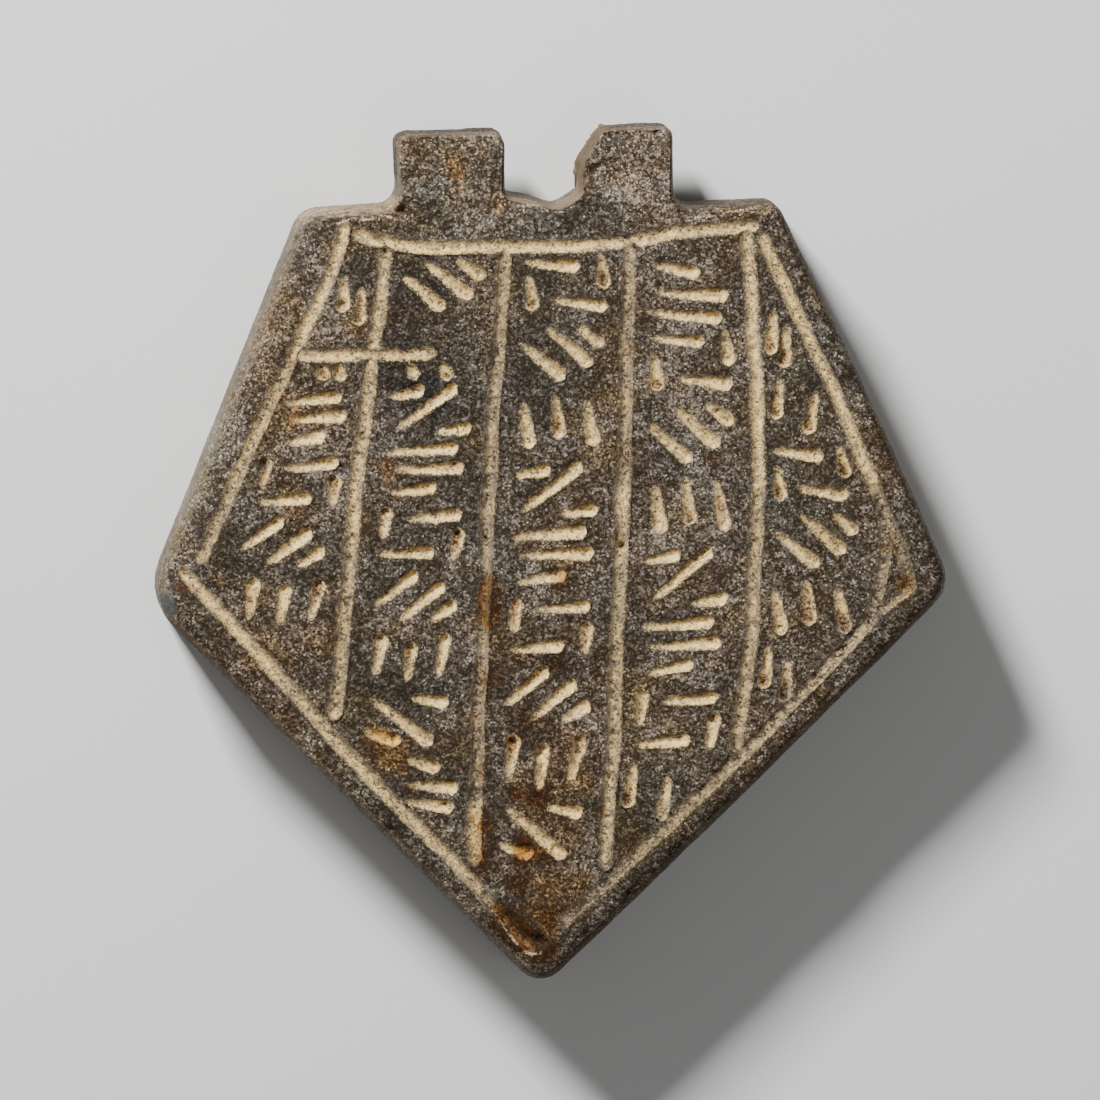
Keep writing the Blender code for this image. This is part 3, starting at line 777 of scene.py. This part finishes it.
fine_noise = noise_of(0.17, roughness=0.7)
coarse_noise = noise_of(0.55, shift=40)
patch_noise = noise_of(2.6, detail=3.0, shift=80)
broad_noise = noise_of(9.0, shift=120)
stroke_noise = noise_of(3.2, detail=1.0, shift=160)
ground_noise = noise_of(3.2, detail=3.0, shift=200)
grain_number, grain_warmth = crystals_of(0.18)
spark_number, spark_strength = crystals_of(0.13)
print("patterns ready")

# %% [markdown]
# ## Grains
#
# Under a lens the stone is mostly dark purplish-brown grains with paler ones strewn between
# them, a fifth of a millimetre across. A random number for each Voronoi cell picks a grain's
# mineral through a colour ramp. Noise of several sizes is added to that number first, so the pale
# grains crowd together in some places and thin out in others, as they do in the real stone. A
# second number per grain turns some of them warmer and some greyer, and the smallest crystals of
# all are strewn over them as sparks.

# %% Ramps and swings
def ramp_of(value, stops):
    """Colours along a scale from 0 to 1."""
    made = nodes.new("ShaderNodeValToRGB")
    elements = made.color_ramp.elements
    while len(elements) < len(stops):
        elements.new(0.5)
    for element, (position, colour) in zip(elements, stops):
        element.position = position
        element.color = (*colour, 1)
    feed(made.inputs[0], value)
    return made.outputs["Color"]


def swing(value, amount):
    """A value's difference from 0.5, times an amount."""
    return times(math_of("SUBTRACT", value, 0.5), amount)


def ragged(value, low, high, *noises):
    """A smooth rise while a value goes from low to high, with its rim broken up by noises."""
    return spread_of(added(value, *noises), low, high)


# %% The grains' colours
GRAIN_COLOURS = (
    (0.00, (0.016, 0.0115, 0.0072)),
    (0.38, (0.029, 0.0213, 0.0133)),
    (0.55, (0.060, 0.0486, 0.0360)),
    (0.74, (0.107, 0.0915, 0.0725)),
    (1.00, (0.285, 0.2560, 0.2120)),
)
MIDDLE_GRAIN = 0.49  # where on that scale the average grain lies
WARM_GRAIN = (1.05, 1.00, 0.93, 1)
COOL_GRAIN = (0.96, 1.00, 1.05, 1)
SPARK_COLOUR = (0.46, 0.43, 0.37, 1)
SPARK_LEVEL = 0.965  # crystals whose number lies above it shine
SPARK_SHARE = 0.70
# how far a map crowds the pale grains together, or thins them out
CROWDING = {"pale": 0.16, "slate": -0.15, "rust": -0.30, "lug": 0.05}
crowding = added(swing(patch_noise, 0.46), swing(broad_noise, 0.30), swing(coarse_noise, 0.42))
for name, amount in CROWDING.items():
    crowding = added(crowding, times(map_named(name), amount))
grain_value = added(swing(grain_number, 0.55), swing(fine_noise, 1.25), crowding, MIDDLE_GRAIN)
grains = ramp_of(grain_value, GRAIN_COLOURS)
grains = mixed(1.0, grains, mixed(grain_warmth, WARM_GRAIN, COOL_GRAIN), "MULTIPLY")
is_spark = math_of("GREATER_THAN", added(spark_number, crowding), SPARK_LEVEL)
grains = mixed(times(is_spark, spark_strength, SPARK_SHARE), grains, SPARK_COLOUR)
print("grain colours:", len(GRAIN_COLOURS))

# %% [markdown]
# ## Tints of the ground
#
# Each stain multiplies the grains by a tint instead of covering them, because a stain soaks in
# and the grains still show through. Noise breaks up its rim.

# %% Stain the grains
LEAST_STAIN = 0.02  # noise raises no stain where its map is below this


def stained(colour, name, tint, breakup):
    """A colour under one kind of stain."""
    stain = map_named(name)
    share = ragged(stain, 0.25, 0.85, swing(breakup, 1.1))
    share = times(share, math_of("GREATER_THAN", stain, LEAST_STAIN))
    return mixed(share, colour, (*tint, 1), "MULTIPLY")


GROUND_TINTS = (
    (0.34, (0.97, 1.01, 1.05)),
    (0.48, (1.00, 1.00, 1.00)),
    (0.58, (1.05, 1.00, 0.90)),
    (0.70, (1.16, 1.04, 0.74)),
)
BROAD_TINT = (1.08, 0.98, 0.92, 1)
LUG_TINT = (1.16, 1.15, 1.13, 1)
STAIN_TINTS = (
    ("umber", (1.05, 0.87, 0.66), patch_noise),
    ("slate", (0.68, 0.77, 0.94), patch_noise),
    ("ochre", (1.40, 1.03, 0.58), coarse_noise),
    ("rust", (1.26, 0.82, 0.52), coarse_noise),
)
stone_colour = mixed(spread_of(broad_noise, 0.35, 0.65), grains, BROAD_TINT, "MULTIPLY")
stone_colour = mixed(1.0, stone_colour, ramp_of(ground_noise, GROUND_TINTS), "MULTIPLY")
stone_colour = mixed(map_named("lug"), stone_colour, LUG_TINT, "MULTIPLY")
for name, tint, breakup in STAIN_TINTS:
    stone_colour = stained(stone_colour, name, tint, breakup)
print("stains mixed in:", len(STAIN_TINTS))

# %% [markdown]
# ## Rubbed edges and sides
#
# Handling rubbed the edges and sides smooth. The grains there are worn to one level and dulled
# by a thin greyish-tan film, so the contrast between them is lower than on the face. Along the left
# shoulder's upper side, which faces the lamp, the colour is lightened, partly as paler film and partly
# as a painted highlight. The right shoulder and the slopes that face right, away from the lamp, lose
# the film and are darkened to dark brown as painted shade, less where they also face down. The lug's
# own sides are duller. The break in the notch was never rubbed and shows light brown stone.

# %% Rub the edges
WORN_FILM = (0.178, 0.134, 0.084, 1)
FILM_SHARE = 0.38  # how much of the grains it hides at most
# the tint of the painted shade on slopes that face away from the lamp
PAINTED_SHADE_TINT = (0.70, 0.62, 0.52, 1)
# lightens slopes that face the lamp: partly paler film, partly painted highlight
FILM_AND_HIGHLIGHT_TINT = (1.95, 1.86, 1.74, 1)
rubbed = math_of("MAXIMUM", map_named("edge_wear"), map_named("side"))
rubbed_share = ragged(rubbed, 0.3, 1.2, swing(coarse_noise, 1.4), swing(fine_noise, 0.8))
# Slopes that face away from the lamp lose the film and are darkened below: painted shade.
rubbed_share = times(rubbed_share, FILM_SHARE, rest_of(map_named("rightward_painted_shade")))
stone_colour = mixed(rubbed_share, stone_colour, WORN_FILM)
stone_colour = mixed(times(rubbed, map_named("rightward_painted_shade")), stone_colour, PAINTED_SHADE_TINT, "MULTIPLY")
band_noises = swing(coarse_noise, 2.2), swing(fine_noise, 1.0)
# Slopes that face the lamp are lightened: partly paler film, partly painted highlight.
film_and_highlight_share = ragged(map_named("upward_film_and_highlight"), 0.30, 1.10, *band_noises)
stone_colour = mixed(film_and_highlight_share, stone_colour, FILM_AND_HIGHLIGHT_TINT, "MULTIPLY")
print("edges rubbed")

# %% The break, the lug's sides, inclusions and lips
BREAK_COLOUR = (0.160, 0.112, 0.064, 1)
BREAK_SHARE = 0.75
SIDE_TINT = (0.50, 0.46, 0.42, 1)
SIDE_SHARE = 0.8
INCLUSION_COLOUR = (0.050, 0.056, 0.055, 1)
INCLUSION_SHARE = 0.7
LIP_COLOUR = (0.480, 0.390, 0.250, 1)
break_share = ragged(map_named("broken"), 0.4, 1.1, swing(coarse_noise, 1.4), swing(fine_noise, 1.2))
break_share = times(break_share, BREAK_SHARE, spread_of(map_named("broken"), 0.02, 0.2))
stone_colour = mixed(break_share, stone_colour, BREAK_COLOUR)
stone_colour = mixed(times(map_named("lug_sides"), SIDE_SHARE), stone_colour, SIDE_TINT, "MULTIPLY")
inclusion_share = ragged(map_named("inclusion"), 0.45, 0.75, swing(coarse_noise, 0.8))
stone_colour = mixed(times(inclusion_share, INCLUSION_SHARE), stone_colour, INCLUSION_COLOUR)
lip_share = ragged(map_named("pale_lip"), 0.35, 0.75, swing(fine_noise, 1.0))
stone_colour = mixed(lip_share, stone_colour, LIP_COLOUR)
print("break, sides, inclusions and lips coloured")

# %% [markdown]
# ## Earth in the cuts
#
# Pale earth fills every cut. Its colour also carries painted light and shade: it is thick, creamy
# and reaches further up the wall that faces the lamp, a painted highlight, and it is thin, brown and
# dotted with dark grains on the wall turned away from the lamp, a painted shade, so the map of those
# walls pushes its edge back. It lies narrower in the rulings than in the strokes. Many upright strokes have
# lost the pale crust along their bottoms, where an older brown layer shows between two cream rims.
# Where a ruling is worn, its middle turns tan and only its rims stay pale. Fine noise makes every
# edge granular, because the earth stops from grain to grain.

# %% Where the earth lies
EARTH_ENDS = 0.51  # mm from the cut's bottom, before noise makes the edge ragged
EARTH_IS_FULL = 0.35
stroke = map_named("stroke")
worn = map_named("worn_cut")
from_bottom = map_named("cut_distance")
# Painted highlight on the wall of a cut that faces the lamp, painted shade on the wall turned away from it.
painted_highlight = math_of("MAXIMUM", times(map_named("painted_light_and_shade_wall"), -1.0), 0.0)
painted_shade = math_of("MAXIMUM", map_named("painted_light_and_shade_wall"), 0.0)
painted_shade = times(painted_shade, added(times(stroke, 0.70), 0.30))  # the shallower rulings get less painted shade
ruled = rest_of(stroke)
# The earth's edge draws back with wear and in the rulings, and also on the wall away from the lamp as
# painted shade; it reaches further up the lit wall as painted highlight.
thin_earth_and_painted_shade = added(times(painted_shade, 0.16), times(worn, 0.06), times(painted_highlight, -0.08), times(ruled, 0.075))
edge_noises = swing(fine_noise, 1.05), swing(grain_number, 0.40), swing(patch_noise, 0.35)
earth_share = ragged(from_bottom, EARTH_ENDS, EARTH_IS_FULL, *edge_noises, thin_earth_and_painted_shade)
earth_share = times(earth_share, rest_of(times(worn, 0.22)))
worn_rim = times(spread_of(from_bottom, 0.26, 0.36), worn)
bare_bottom = added(times(map_named("upright_stroke"), 0.75), times(stroke, 0.25))
bare_bottom = times(bare_bottom, spread_of(from_bottom, 0.36, 0.14), spread_of(stroke_noise, 0.42, 0.54))
print("earth placed")

# %% The earth's colours
EARTH_COLOURS = (
    (0.00, (0.058, 0.045, 0.032)),
    (0.25, (0.190, 0.145, 0.092)),
    (0.50, (0.450, 0.315, 0.145)),
    (0.75, (0.790, 0.550, 0.205)),
    (1.00, (0.960, 0.730, 0.300)),
)
MIDDLE_EARTH = 0.58  # where on that scale the average earth lies
BARE_TINT = (0.86, 0.66, 0.44, 1)
BARE_SHARE = 0.8
EARTH_TINTS = {"ochre": (0.84, 0.66, 0.44), "rust": (0.50, 0.33, 0.20)}
# The earth is painted lighter on the lit wall and darker on the wall away from the lamp: painted highlight
# and painted shade.
earth_value = added(
    swing(coarse_noise, 0.9),
    times(swing(fine_noise, 1.55), rest_of(times(worn, 0.35))),
    swing(patch_noise, 0.45),
    swing(grain_number, 0.6),
    times(painted_highlight, 0.24),
    times(stroke, 0.10),
    times(painted_shade, -0.21),
    times(bare_bottom, -0.46),
    times(worn, -0.37),
    times(worn_rim, 0.30),
    MIDDLE_EARTH,
)
earth = ramp_of(earth_value, EARTH_COLOURS)
earth = mixed(times(bare_bottom, BARE_SHARE), earth, BARE_TINT, "MULTIPLY")
for name, tint in EARTH_TINTS.items():
    earth = stained(earth, name, tint, coarse_noise)
links.new(mixed(earth_share, stone_colour, earth), surface.inputs["Base Color"])
print("earth colours:", len(EARTH_COLOURS))

# %% [markdown]
# ## Gloss and the finest grain
#
# Earth is quite matt, the face has a dull gloss, and rubbed edges have a little more. Grain that
# is finer than the skin's faces comes from a Bump node, which bends the light without moving the
# surface, so it is only used for what is too small to see in outline.

# %% Roughness and bump
SPECULAR_LEVEL = 0.1
BUMP_HEIGHT = 0.05 * MM
roughness = spread_of(fine_noise, 0.3, 0.7, 0.72, 0.56)
roughness = added(roughness, times(rubbed, -0.06), times(earth_share, 0.25))
links.new(roughness, surface.inputs["Roughness"])
surface.inputs["Specular IOR Level"].default_value = SPECULAR_LEVEL
bump = nodes.new("ShaderNodeBump")
bump.inputs["Distance"].default_value = BUMP_HEIGHT
grain_height = added(fine_noise, swing(grain_number, 0.5))
links.new(times(grain_height, rest_of(times(rubbed, 0.6))), bump.inputs["Height"])
links.new(bump.outputs[0], surface.inputs["Normal"])
stone.data.materials.clear()
stone.data.materials.append(finish)
print("the material has", len(nodes), "nodes")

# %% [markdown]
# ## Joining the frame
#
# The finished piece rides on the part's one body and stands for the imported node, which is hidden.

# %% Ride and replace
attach(stone, "root")
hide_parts("amulet")
print(stone.name, "stands for the packed node")

# %% [markdown]
# ## A pale floor, soft light and the camera
#
# The amulet can't stand by itself, so it lies on its back and the camera looks down on it. A big
# soft lamp stands low at the upper left, because light that grazes the face is what makes shallow
# cuts readable. A weak grey sky fills the shadows.

# %% Floor
FLOOR_WIDTH = 3.0
FLOOR_COLOUR = (0.72, 0.72, 0.71, 1)
bpy.ops.object.select_all(action="DESELECT")
bpy.ops.mesh.primitive_plane_add(size=FLOOR_WIDTH, location=(0, 0, 0))
floor = bpy.context.active_object
floor.name = "floor"
floor_paint = bpy.data.materials.new("pale_floor")
floor_paint.use_nodes = True
floor_surface = floor_paint.node_tree.nodes["Principled BSDF"]
floor_surface.inputs["Base Color"].default_value = FLOOR_COLOUR
floor_surface.inputs["Roughness"].default_value = 0.9
floor.data.materials.append(floor_paint)
print("floor laid")

# %% Light
SKY_STRENGTH = 0.14


def lamp(name, direction, distance, size, power):
    """A square soft lamp that faces the middle of the amulet."""
    towards = Vector(direction).normalized()
    light = bpy.data.lights.new(name, "AREA")
    light.size = size
    light.energy = power
    stand = bpy.data.objects.new(name, light)
    bpy.context.scene.collection.objects.link(stand)
    stand.location = towards * distance
    stand.rotation_euler = towards.to_track_quat("Z", "Y").to_euler()


lamp("key_lamp", (-0.47, 0.76, 0.55), distance=0.60, size=0.11, power=10.0)
lamp("fill_lamp", (0.3, -0.3, 1.0), distance=0.80, size=0.50, power=0.8)
sky = bpy.data.worlds.new("studio")
sky.use_nodes = True
sky_light = sky.node_tree.nodes["Background"]
sky_light.inputs["Color"].default_value = (1.0, 1.0, 1.0, 1)
sky_light.inputs["Strength"].default_value = SKY_STRENGTH
bpy.context.scene.world = sky
print("two lamps and a sky placed")

# %% Camera
VIEW_WIDTH = 83.40 * MM  # what the picture spans at the height of the face
FACE_LEVEL = 8.0 * MM
MIDDLE_LEVEL = 5.0 * MM  # the height that the camera aims at
TILT_UP = math.radians(4.0)
TILT_LEFT = math.radians(3.0)
FOCAL_LENGTH = 600  # mm, so long that the view is nearly parallel
lens = bpy.data.cameras.new("camera")
lens.lens = FOCAL_LENGTH
camera = bpy.data.objects.new("camera", lens)
bpy.context.scene.collection.objects.link(camera)
away = Vector((-math.sin(TILT_LEFT), math.sin(TILT_UP), 1)).normalized()
right = Vector((0, 1, 0)).cross(away).normalized()
turn = Matrix((right, away.cross(right), away)).transposed().to_4x4()
reach = VIEW_WIDTH / 2 * lens.lens / (lens.sensor_width / 2)
turn.translation = Vector((0, 0, MIDDLE_LEVEL)) + away * (reach + FACE_LEVEL - MIDDLE_LEVEL)
camera.matrix_world = turn
bpy.context.scene.camera = camera
print("camera", round(reach, 3), "m away")
